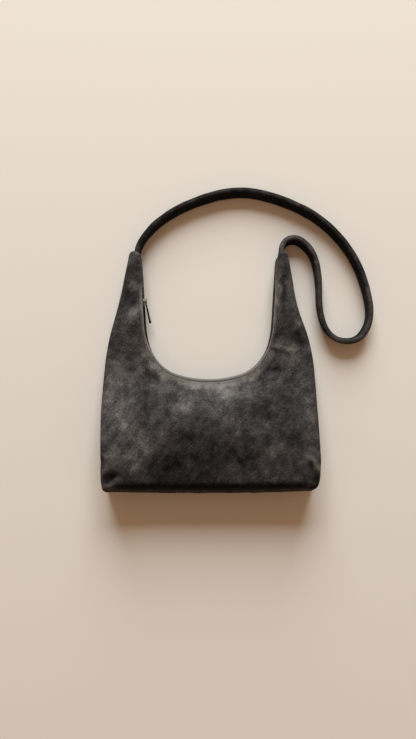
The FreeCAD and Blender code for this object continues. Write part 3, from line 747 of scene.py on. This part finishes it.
def u_strip(name, node, first, last, insets, heights, thickness, upright=AT_TEETH):
    """A strip along the U between two distances from its middle, through insets into the bag and heights."""
    line, inwards, distances = u_edge(EDGE_ROWS_EACH_SIDE)
    kept = (distances >= first) & (distances <= last)
    line = line[kept]
    line = line - 1j * tip_drop(line)
    columns = [leaning(line, inwards[kept], inset, height, upright) for inset, height in zip(insets, heights)]
    piece = laid_sheet(name, np.stack(columns[::-1], axis=1))
    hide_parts(node)
    return thicken(piece, thickness)


def turned_strip(near, far):
    """Insets and heights of a facing from the panel to its fold beside the zip, and back behind itself."""
    side = 1 if near > far else -1
    heights = list(np.linspace(near, far + side * FACING_FOLD, 5))
    insets = [FACING_INSET] * 5
    for angle in np.radians([30, 60, 90, 120, 150, 180]):
        insets.append(FACING_INSET + FACING_FOLD * (1 - math.cos(angle)))
        heights.append(far + side * FACING_FOLD * (1 - math.sin(angle)))
    insets.append(FACING_INSET + 2 * FACING_FOLD)
    heights.append(far + side * FACING_TURN)
    return insets, heights


def horn_facing(name, node, side):
    """The facing above the zip's end, which runs on over the horn's tip and closes it round the strap."""
    line, distances = u_edge(EDGE_ROWS_EACH_SIDE)[::2]
    up_horn = line[side * distances >= U_LENGTH - ZIP_FROM_TIP]
    up_horn = up_horn - 1j * tip_drop(up_horn)
    over_tip = on_ribs([0.0, 0.0002, 0.0008], [0.0008, 0.0002, 0.0], 16, RIB_STARTS, RIB_ENDS)
    over_tip = over_tip[-1, 1:] if side > 0 else over_tip[0, :0:-1]
    line = np.concatenate([up_horn, over_tip] if side > 0 else [over_tip, up_horn])
    ahead = np.gradient(line)
    inwards = -1j * ahead / np.abs(ahead)
    heights = np.linspace(2 * HEM_R, HORN_DEPTH - 2 * HEM_R, 9)
    columns = [leaning(line, inwards, FACING_INSET, height, AT_TEETH) for height in heights]
    piece = laid_sheet(name, np.stack(columns, axis=1))
    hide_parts(node)
    return thicken(piece, HORN_FACING_T)


def facings():
    zip_end = U_LENGTH - ZIP_FROM_TIP
    under = HORN_DEPTH - 2 * HEM_R
    front = turned_strip(under, ZIP_Z + ZIP_WINDOW / 2)
    back = turned_strip(2 * HEM_R, ZIP_Z - ZIP_WINDOW / 2)
    back = [list(reversed(row)) for row in back]
    return [
        u_strip("zip_facing_front_suede", "zip_facing_front", -zip_end, zip_end, *front, FACING_T),
        u_strip("zip_facing_back_suede", "zip_facing_back", -zip_end, zip_end, *back, FACING_T),
        horn_facing("horn_facing_left_suede", "horn_facing_left", -1),
        horn_facing("horn_facing_right_suede", "horn_facing_right", 1),
    ]


def tapes():
    """The zip's two woven tapes, which stand behind the facings with the teeth on their near edges, upright
    where the slider runs on them."""
    end = U_LENGTH - ZIP_FROM_TIP + TAPE_TAIL
    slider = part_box("zip_slider")
    upright = (slider[0].z - TAPE_CLEARANCE, slider[1].z + TAPE_CLEARANCE)
    insets = [TAPE_INSET] * 8
    upper = list(np.linspace(HORN_DEPTH - TAPE_DEPTH, ZIP_Z + TAPE_EDGE, 8))
    lower = list(np.linspace(ZIP_Z - TAPE_EDGE, TAPE_DEPTH, 8))
    return [
        u_strip("zip_tape_front_weave", "zip_tape_front", -end, end, insets, upper, TAPE_T, upright),
        u_strip("zip_tape_back_weave", "zip_tape_back", -end, end, insets, lower, TAPE_T, upright),
    ]


# Thread
def distances_along(line):
    """How far along a line each of its places is."""
    return np.concatenate([[0], np.cumsum(np.linalg.norm(np.diff(line, axis=0), axis=1))])


def one_stitch():
    """One machine stitch, thicker in its middle, along x."""
    bpy.ops.mesh.primitive_uv_sphere_add(segments=8, ring_count=6, radius=THREAD_R)
    stitch = bpy.context.object
    bpy.ops.object.mode_set(mode="EDIT")
    bpy.ops.transform.resize(value=(STITCH_LENGTH / 2 / THREAD_R, 1, 1))
    bpy.ops.object.mode_set(mode="OBJECT")
    bpy.ops.object.shade_smooth()
    bpy.ops.object.select_all(action="DESELECT")
    return stitch


def stitched_line(name, line):
    """A row of stitches along a line of points, each sunk into the suede at its ends."""
    pattern = one_stitch()
    along = distances_along(line)
    copies = []
    for start in np.arange(STITCH_PITCH, along[-1] - STITCH_PITCH, STITCH_PITCH):
        ends = [[np.interp(start + reach, along, axis) for axis in line.T] for reach in (0, STITCH_LENGTH)]
        run = Vector(ends[1]) - Vector(ends[0])
        stitch = bpy.data.objects.new(name, pattern.data.copy())
        turn = run.to_track_quat("X", "Z").to_matrix().to_4x4()
        stitch.data.transform(Matrix.Translation((Vector(ends[0]) + Vector(ends[1])) / 2) @ turn)
        bpy.context.collection.objects.link(stitch)
        copies.append(stitch)
    bpy.data.objects.remove(pattern)
    for stitch in copies:
        stitch.select_set(True)
    bpy.context.view_layer.objects.active = copies[0]
    bpy.ops.object.join()
    piece = bpy.context.object
    piece.name = name
    piece.data.name = name
    bpy.ops.object.select_all(action="DESELECT")
    return piece


def topstitching():
    """The rows of stitches that hold the turned edges of the front and the back round the U. The bag lies on
    the back's, so they are pressed in level with it."""
    sunk = THREAD_R / 3
    front = spatial(FRONT_PLAN, FRONT_HEIGHT)[3:-3, STITCH_ROW] + np.array([0, 0, sunk])
    back = spatial(BACK_PLAN, BACK_HEIGHT)[3:-3, STITCH_ROW] - np.array([0, 0, sunk])
    back[:, 2] = np.maximum(back[:, 2], THREAD_R)
    return [stitched_line("front_hem_thread", front), stitched_line("back_hem_thread", back)]


# Zip metal
TUMBLED_EDGE = 0.00022


def tumbled(node, name, body):
    """A copy of a cast zip part with its edges tumbled round."""
    piece = bpy.data.objects.new(name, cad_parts[node].data.copy())
    piece.data.name = name
    bpy.context.collection.objects.link(piece)
    bpy.ops.object.select_all(action="DESELECT")
    piece.select_set(True)
    bpy.context.view_layer.objects.active = piece
    bpy.ops.object.mode_set(mode="EDIT")
    bpy.ops.mesh.select_all(action="SELECT")
    bpy.ops.mesh.remove_doubles(threshold=0.000002)
    bpy.ops.mesh.dissolve_limited(angle_limit=math.radians(2))
    bpy.ops.object.mode_set(mode="OBJECT")
    bevel = piece.modifiers.new("tumbled_edges", "BEVEL")
    bevel.width = TUMBLED_EDGE
    bevel.segments = 3
    bevel.limit_method = "ANGLE"
    bevel.angle_limit = math.radians(35)
    bpy.ops.object.modifier_apply(modifier=bevel.name)
    bpy.ops.object.shade_smooth_by_angle(angle=math.radians(40))
    bpy.ops.object.select_all(action="DESELECT")
    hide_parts(node)
    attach(piece, body)
    return piece


# Strap
LYING_Z = 0.0096
STRAP_WIDTH = 0.019
STRAP_T = 0.0070
STRAP_EDGE = 0.0029         # radius of the band's rounded edges
STRAP_WAVES = 0.00035       # the suede isn't quite flat on its core
STRAP_CLEARANCE = 0.0001    # over the floor
STRAP_FACE_SHADE = -0.85      # painted shade on the band's faces, and painted highlights along its edges, growing lighter from the left tip along the band
STRAP_EDGE_HIGHLIGHT = [(0.0, -0.35), (0.35, -0.15), (0.72, 0.20)]
STRAP_ROUTE = [
    (-0.0980, 0.1300, ZIP_Z),
    (-0.0968, 0.1500, ZIP_Z),
    (-0.0895, 0.1720, LYING_Z + 0.0016),
    (-0.0670, 0.1975, LYING_Z),
    (-0.0250, 0.2220, LYING_Z),
    (0.0380, 0.2395, LYING_Z),
    (0.0970, 0.2265, LYING_Z),
    (0.1520, 0.1985, LYING_Z),
    (0.1935, 0.1510, LYING_Z),
    (0.2120, 0.0985, LYING_Z),
    (0.2140, 0.0650, LYING_Z),
    (0.2015, 0.0420, LYING_Z),
    (0.1795, 0.0365, LYING_Z),
    (0.1565, 0.0480, LYING_Z),
    (0.1460, 0.0800, LYING_Z),
    (0.1460, 0.1180, LYING_Z),
    (0.1410, 0.1470, LYING_Z),
    (0.1320, 0.1620, LYING_Z),
    (0.1205, 0.1715, LYING_Z + 0.0002),
    (0.1100, 0.1738, LYING_Z + 0.0006),
    (0.1010, 0.1700, LYING_Z + 0.0012),
    (0.0960, 0.1615, ZIP_Z),
    (0.0950, 0.1475, ZIP_Z),
    (0.0963, 0.1340, ZIP_Z),
]
# How far the band's upper edge leans to the left of its run at each point of the route, in degrees
STRAP_LEAN = [0, 0, 6, 13, 17, 19, 19, 17, 13, 8, 5, 6, 8, 5, 1, -3, -9, -15, -18, -17, -12, -5, 0, 0]


def strap_line():
    """Points along the smooth line of the strap."""
    curve = bpy.data.curves.new("strap_line", "CURVE")
    curve.dimensions = "3D"
    spline = curve.splines.new("NURBS")
    spline.points.add(len(STRAP_ROUTE) - 1)
    for point, place in zip(spline.points, STRAP_ROUTE):
        point.co = (*place, 1)
    spline.order_u = 3
    spline.use_endpoint_u = True
    spline.resolution_u = 16
    holder = bpy.data.objects.new("strap_line", curve)
    bpy.context.collection.objects.link(holder)
    mesh = bpy.data.meshes.new_from_object(holder)
    line = np.array([vertex.co[:] for vertex in mesh.vertices])
    bpy.data.objects.remove(holder)
    bpy.data.meshes.remove(mesh)
    steps = np.linalg.norm(np.diff(line, axis=0), axis=1)
    return line[np.concatenate([[True], steps > 0.0005])]


def strap_section():
    """Places across the band, as (towards its inner face, up its width), once round."""
    half_t = STRAP_T / 2 - STRAP_EDGE
    half_w = STRAP_WIDTH / 2 - STRAP_EDGE
    section = []
    for corner, (side, up) in enumerate([(1, 1), (-1, 1), (-1, -1), (1, -1)]):
        for step in range(7):
            turn = cmath.rect(STRAP_EDGE, math.radians(90 * corner + 15 * step))
            section.append((side * half_t + turn.real, up * half_w + turn.imag))
        if corner % 2 == 1:
            for step in range(1, 8):
                section.append((side * STRAP_T / 2, up * half_w * (1 - step / 4)))
    return section


def strap():
    """The padded band: suede folded round a core, which lies on its edge and leans a little."""
    line = strap_line()
    along = distances_along(line)
    near = [np.linalg.norm(line - np.array(place), axis=1).argmin() for place in STRAP_ROUTE]
    lean = np.radians(np.interp(along, along[near], STRAP_LEAN))
    ahead = np.gradient(line, axis=0)
    ahead[:, 2] = 0
    ahead /= np.linalg.norm(ahead, axis=1)[:, None]
    left = np.stack([-ahead[:, 1], ahead[:, 0], np.zeros(len(line))], axis=1)
    up = np.array([0.0, 0.0, 1.0])
    across = left * np.cos(lean)[:, None] - up * np.sin(lean)[:, None]
    upward = left * np.sin(lean)[:, None] + up * np.cos(lean)[:, None]
    section = strap_section()
    section.append(section[0])
    rings = []
    nap_and_painted_light = []
    # painted shade on the band's faces and painted highlights along its edges
    edge_highlight = np.interp(along, *zip(*STRAP_EDGE_HIGHLIGHT))
    for side, rise in section:
        to_edge = smooth(0.5, 0.95, abs(rise) * 2 / STRAP_WIDTH)
        nap_and_painted_light.append(STRAP_FACE_SHADE + (edge_highlight - STRAP_FACE_SHADE) * to_edge)
        waves = STRAP_WAVES * soft_noise(along + 1j * rise * 2 + (0.5 if side > 0 else 0), 0.013, 7.0)
        rings.append(line - across * (side + np.sign(side) * waves)[:, None] + upward * rise)
    points = np.stack(rings, axis=1)
    sunk = np.minimum(points[:, :, 2].min(axis=1) - STRAP_CLEARANCE, 0)
    points[:, :, 2] -= sunk[:, None]
    piece = laid_sheet("strap_suede", points, np.stack(nap_and_painted_light, axis=1))
    bpy.context.view_layer.objects.active = piece
    bpy.ops.object.mode_set(mode="EDIT")
    bpy.ops.mesh.select_all(action="SELECT")
    bpy.ops.mesh.remove_doubles(threshold=0.00001)
    bpy.ops.mesh.select_all(action="DESELECT")
    bpy.ops.mesh.select_non_manifold()
    bpy.ops.mesh.fill()
    bpy.ops.mesh.select_all(action="SELECT")
    bpy.ops.mesh.normals_make_consistent(inside=False)
    bpy.ops.object.mode_set(mode="OBJECT")
    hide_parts("strap", "strap_core")
    return piece


# Materials, with the sizes of their patterns
SUEDE_CLOUD = 0.04167
SUEDE_BLOTCH = 0.011765
SUEDE_GRAIN = 0.001613
SUEDE_PILE = 0.0007143
TAPE_RIB = 0.0008
TWILL_RIB = 0.0010
TUMBLING_MARK = 0.001111
THREAD_PLY = 0.0003
BOARD_FIBRE = 0.002
WAVE_BAND = 0.314           # metres from band to band of a wave texture at scale 1

# How the suede was brushed: length and width of the marks, their turn in degrees, distortion and share
BRUSH_MARKS = [
    (0.0240, 0.0055, 52, 0.8, 0.30),
    (0.0060, 0.0021, -20, 2.0, 0.48),
    (0.0065, 0.0019, 46, 2.0, 0.48),
]


def colour(hex_code):
    """An sRGB hex colour as linear RGBA."""
    values = [int(hex_code[place:place + 2], 16) / 255 for place in (0, 2, 4)]
    linear = [v / 12.92 if v <= 0.04045 else ((v + 0.055) / 1.055) ** 2.4 for v in values]
    return (*linear, 1.0)


def add_node(material, kind, links=None, **settings):
    """Adds a node with its settings. links gives, for an input's name or number, a value or another node's
    output."""
    made = material.node_tree.nodes.new(kind)
    for name, value in settings.items():
        if hasattr(made, name):
            setattr(made, name, value)
        else:
            made.inputs[name.replace("_", " ")].default_value = value
    for name, given in (links or {}).items():
        if isinstance(given, (int, float, tuple)):
            made.inputs[name].default_value = given
        else:
            material.node_tree.links.new(given, made.inputs[name])
    return made


def new_material(name, **settings):
    """A material and its shader, with the shader's settings."""
    material = bpy.data.materials.new(name)
    material.use_nodes = True
    shader = material.node_tree.nodes["Principled BSDF"]
    for setting, value in settings.items():
        shader.inputs[setting.replace("_", " ")].default_value = value
    return material, shader


def set_ramp(ramp, stops):
    """Gives a colour ramp its stops, as (position, hex colour)."""
    for position, hex_code in stops[2:]:
        ramp.color_ramp.elements.new(position)
    for element, (position, hex_code) in zip(ramp.color_ramp.elements, stops):
        element.position = position
        element.color = colour(hex_code)


def charcoal_suede():
    """Suede: the buffed flesh side of a split hide. It has no gloss, and its short pile looks light or dark
    as it is brushed one way or the other: clouds of 42 mm, blotches of 12 mm, brush marks and grain. Its
    fibres are about 0.1 mm thick, too fine to show, so the grain is drawn at 1.6 mm and its bumps at
    0.7 mm."""
    material, shader = new_material(
        "charcoal_suede", Roughness=0.95, Specular_IOR_Level=0.05, Sheen_Weight=0.03, Sheen_Roughness=0.45
    )
    links = material.node_tree.links
    place = add_node(material, "ShaderNodeTexCoord").outputs["Object"]
    turned = add_node(material, "ShaderNodeMapping", {"Vector": place}, Rotation=(0.5, 0.3, 0.6)).outputs[0]
    clouds = add_node(material, "ShaderNodeTexNoise", {"Vector": turned}, Scale=1 / SUEDE_CLOUD, Detail=2.0)
    blotches = add_node(
        material, "ShaderNodeTexNoise", {"Vector": turned}, Scale=1 / SUEDE_BLOTCH, Detail=2.0
    )
    patterns = [(clouds, 0.52), (blotches, 0.58)]
    for length, width, turn, distortion, share in BRUSH_MARKS:
        stretched = add_node(
            material, "ShaderNodeMapping", {"Vector": place}, vector_type="TEXTURE",
            Rotation=(0, 0, math.radians(turn)), Scale=(length, width, width)
        )
        marks = add_node(
            material, "ShaderNodeTexNoise", {"Vector": stretched.outputs[0]},
            Scale=1.0, Detail=2.0, Distortion=distortion
        )
        patterns.append((marks, share))
    grain = add_node(material, "ShaderNodeTexNoise", {"Vector": turned}, Scale=1 / SUEDE_GRAIN, Detail=2.0)
    patterns.append((grain, 0.52))
    # the pieces' nap attribute: the brushed pile, painted shade and painted highlights
    brushed_and_painted_light = add_node(material, "ShaderNodeAttribute", attribute_name="nap_and_painted_light").outputs["Fac"]
    middle = 0.5 - sum(share for pattern, share in patterns) / 2
    tone = add_node(material, "ShaderNodeMath", {0: brushed_and_painted_light, 1: 0.60, 2: middle}, operation="MULTIPLY_ADD")
    for pattern, share in patterns:
        inputs = {0: pattern.outputs["Fac"], 1: share, 2: tone.outputs[0]}
        tone = add_node(material, "ShaderNodeMath", inputs, operation="MULTIPLY_ADD")
    ramp = add_node(material, "ShaderNodeValToRGB", {"Fac": tone.outputs[0]})
    set_ramp(ramp, [(0.0, "0a0909"), (0.25, "1d1a1a"), (0.5, "35312f"), (0.75, "524d4a"), (1.0, "756f6b")])
    links.new(ramp.outputs["Color"], shader.inputs["Base Color"])
    pile = add_node(material, "ShaderNodeTexNoise", {"Vector": place}, Scale=1 / SUEDE_PILE, Detail=2.0)
    bump = add_node(
        material, "ShaderNodeBump", {"Height": pile.outputs["Fac"]}, Strength=0.35, Distance=0.0005
    )
    inputs = {"Height": blotches.outputs["Fac"], "Normal": bump.outputs["Normal"]}
    creases = add_node(material, "ShaderNodeBump", inputs, Strength=0.25, Distance=0.0016)
    links.new(creases.outputs["Normal"], shader.inputs["Normal"])
    return material


def woven(name, dark, light, spacing):
    """Woven tape and twill: diagonal ribs of thread, dull, with a painted highlight along each rib's top.
    Real ones are about 0.5 mm apart, and they are drawn wider to show."""
    material, shader = new_material(name, Roughness=0.8)
    links = material.node_tree.links
    place = add_node(material, "ShaderNodeTexCoord").outputs["Object"]
    ribs = add_node(
        material, "ShaderNodeTexWave", {"Vector": place}, bands_direction="DIAGONAL",
        Scale=WAVE_BAND / spacing, Distortion=0.6, Detail=1.0
    )
    ramp = add_node(material, "ShaderNodeValToRGB", {"Fac": ribs.outputs["Fac"]})
    set_ramp(ramp, [(0.2, dark), (0.9, light)])
    links.new(ramp.outputs["Color"], shader.inputs["Base Color"])
    bump = add_node(
        material, "ShaderNodeBump", {"Height": ribs.outputs["Fac"]}, Strength=0.5, Distance=0.0002
    )
    links.new(bump.outputs["Normal"], shader.inputs["Normal"])
    return material


def plated_zinc(name, dark, light, rim):
    """Plate on cast zinc: dark and bright, a little worn to paler metal, with faint tumbling marks about 1 mm
    wide that break up its reflections. rim tints what it mirrors at its edges, where black plate stays
    dark."""
    material, shader = new_material(name, Metallic=1.0, Specular_Tint=colour(rim))
    links = material.node_tree.links
    place = add_node(material, "ShaderNodeTexCoord").outputs["Object"]
    marks = add_node(material, "ShaderNodeTexNoise", {"Vector": place}, Scale=1 / TUMBLING_MARK, Detail=3.0)
    ramp = add_node(material, "ShaderNodeValToRGB", {"Fac": marks.outputs["Fac"]})
    set_ramp(ramp, [(0.35, dark), (0.75, light)])
    links.new(ramp.outputs["Color"], shader.inputs["Base Color"])
    gloss = add_node(
        material, "ShaderNodeMapRange", {"Value": marks.outputs["Fac"]}, To_Min=0.18, To_Max=0.40
    )
    links.new(gloss.outputs["Result"], shader.inputs["Roughness"])
    return material


def thread():
    """Bonded polyester thread: dark, with the soft sheen of its twisted plies, 0.3 mm apart."""
    material, shader = new_material("bonded_thread", Roughness=0.6, Specular_IOR_Level=0.25)
    links = material.node_tree.links
    place = add_node(material, "ShaderNodeTexCoord").outputs["Object"]
    plies = add_node(
        material, "ShaderNodeTexWave", {"Vector": place}, bands_direction="DIAGONAL",
        Scale=WAVE_BAND / THREAD_PLY
    )
    ramp = add_node(material, "ShaderNodeValToRGB", {"Fac": plies.outputs["Fac"]})
    set_ramp(ramp, [(0.1, "393532"), (0.9, "504a47")])
    links.new(ramp.outputs["Color"], shader.inputs["Base Color"])
    return material


def fibreboard():
    """Pressed fibreboard: flat brown grey, flecked with fibres about 2 mm long."""
    material, shader = new_material("fibreboard", Roughness=0.9)
    links = material.node_tree.links
    place = add_node(material, "ShaderNodeTexCoord").outputs["Object"]
    flecks = add_node(material, "ShaderNodeTexNoise", {"Vector": place}, Scale=1 / BOARD_FIBRE, Detail=3.0)
    ramp = add_node(material, "ShaderNodeValToRGB", {"Fac": flecks.outputs["Fac"]})
    set_ramp(ramp, [(0.3, "5b5248"), (0.7, "7a7064")])
    links.new(ramp.outputs["Color"], shader.inputs["Base Color"])
    return material


def pale_floor():
    """A plain pale matt floor."""
    return new_material("pale_floor", Base_Color=colour("d9cfc4"), Roughness=0.9)[0]


def dress(piece, material):
    """Gives a piece its only material."""
    piece.data.materials.clear()
    piece.data.materials.append(material)


# Stage
FLOOR_SIZE = 2.6
FLOOR_GAP = 0.0002          # keeps the floor and the back panel out of one plane
WINDOW_SIZE = (3.2, 3.1)
WINDOW_DISTANCE = 5.0
WINDOW_HEIGHT = math.radians(26.5)
WINDOW_WATTS = 505
WINDOW_COLOUR = (0.83, 0.94, 1.0)
FILL_STRENGTH = 0.53
CAMERA_LENS = 34.43
CAMERA_PLACE = (-0.0013, 0.0007, 0.95)


def room():
    """Warm light from all round, with a pale backdrop for what is seen past the floor."""
    world = bpy.data.worlds.new("room")
    bpy.context.scene.world = world
    world.use_nodes = True
    nodes = world.node_tree.nodes
    fill = nodes["Background"]
    fill.inputs["Color"].default_value = colour("d8b08c")
    fill.inputs["Strength"].default_value = FILL_STRENGTH
    backdrop = add_node(world, "ShaderNodeBackground", Color=colour("e6ddd2"), Strength=1.0)
    rays = add_node(world, "ShaderNodeLightPath")
    seen = rays.outputs["Is Camera Ray"]
    for kind in ("Is Glossy Ray", "Is Transmission Ray"):
        either = add_node(world, "ShaderNodeMath", {0: seen, 1: rays.outputs[kind]}, operation="MAXIMUM")
        seen = either.outputs[0]
    inputs = {0: seen, 1: fill.outputs[0], 2: backdrop.outputs[0]}
    both = add_node(world, "ShaderNodeMixShader", inputs)
    world.node_tree.links.new(both.outputs[0], nodes["World Output"].inputs["Surface"])


def stage():
    """The floor, the window's light from behind the strap, the room and the camera straight above."""
    bpy.ops.mesh.primitive_plane_add(size=FLOOR_SIZE)
    floor = bpy.context.object
    floor.name = "floor"
    floor.data.transform(Matrix.Translation((0, 0, -FLOOR_GAP)))
    dress(floor, pale_floor())
    light = bpy.data.lights.new("window", "AREA")
    light.shape = "RECTANGLE"
    light.size, light.size_y = WINDOW_SIZE
    light.energy = WINDOW_WATTS
    light.color = WINDOW_COLOUR
    lamp = bpy.data.objects.new("window", light)
    lamp.location = (
        0, WINDOW_DISTANCE * math.cos(WINDOW_HEIGHT), WINDOW_DISTANCE * math.sin(WINDOW_HEIGHT)
    )
    lamp.rotation_mode = "QUATERNION"
    lamp.rotation_quaternion = Vector(lamp.location).to_track_quat("Z", "Y")
    bpy.context.collection.objects.link(lamp)
    room()
    camera = bpy.data.cameras.new("camera")
    camera.sensor_width = 36
    camera.lens = CAMERA_LENS
    holder = bpy.data.objects.new("camera", camera)
    holder.location = CAMERA_PLACE
    bpy.context.collection.objects.link(holder)
    bpy.context.scene.camera = holder
    bpy.context.scene.view_settings.view_transform = "Standard"


def main():
    gunmetal = plated_zinc("gunmetal_plate", "55524e", "7f7b76", "ffffff")
    black_nickel = plated_zinc("black_nickel_plate", "0b0a0a", "1b1918", "302e2c")
    for name in (
        "zip_teeth_front", "zip_teeth_back", "zip_teeth_front_run", "zip_teeth_back_run", "zip_top_stops",
        "zip_bottom_stop"
    ):
        dress(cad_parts[name], black_nickel)
    dress(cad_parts["base_board"], fibreboard())
    shell = [front_panel(), back_panel(), strap(), *walls(), *facings()]
    for pieces, material, slot in (
        (shell, charcoal_suede(), "suede"),
        (tapes(), woven("polyester_tape", "171616", "2b2928", TAPE_RIB), "zip_tape"),
        (topstitching(), thread(), "suede"),
        ([lining()], woven("cotton_twill", "201f22", "3a393d", TWILL_RIB), "lining"),
    ):
        for piece in pieces:
            dress(piece, material)
            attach(piece, "bag")
    for node, body, finish in (
        ("zip_slider", "slider", gunmetal),
        ("zip_bridge", "slider", gunmetal),
        ("zip_pull", "pull", black_nickel),
    ):
        dress(tumbled(node, node + "_plated", body), finish)
    stage()


main()
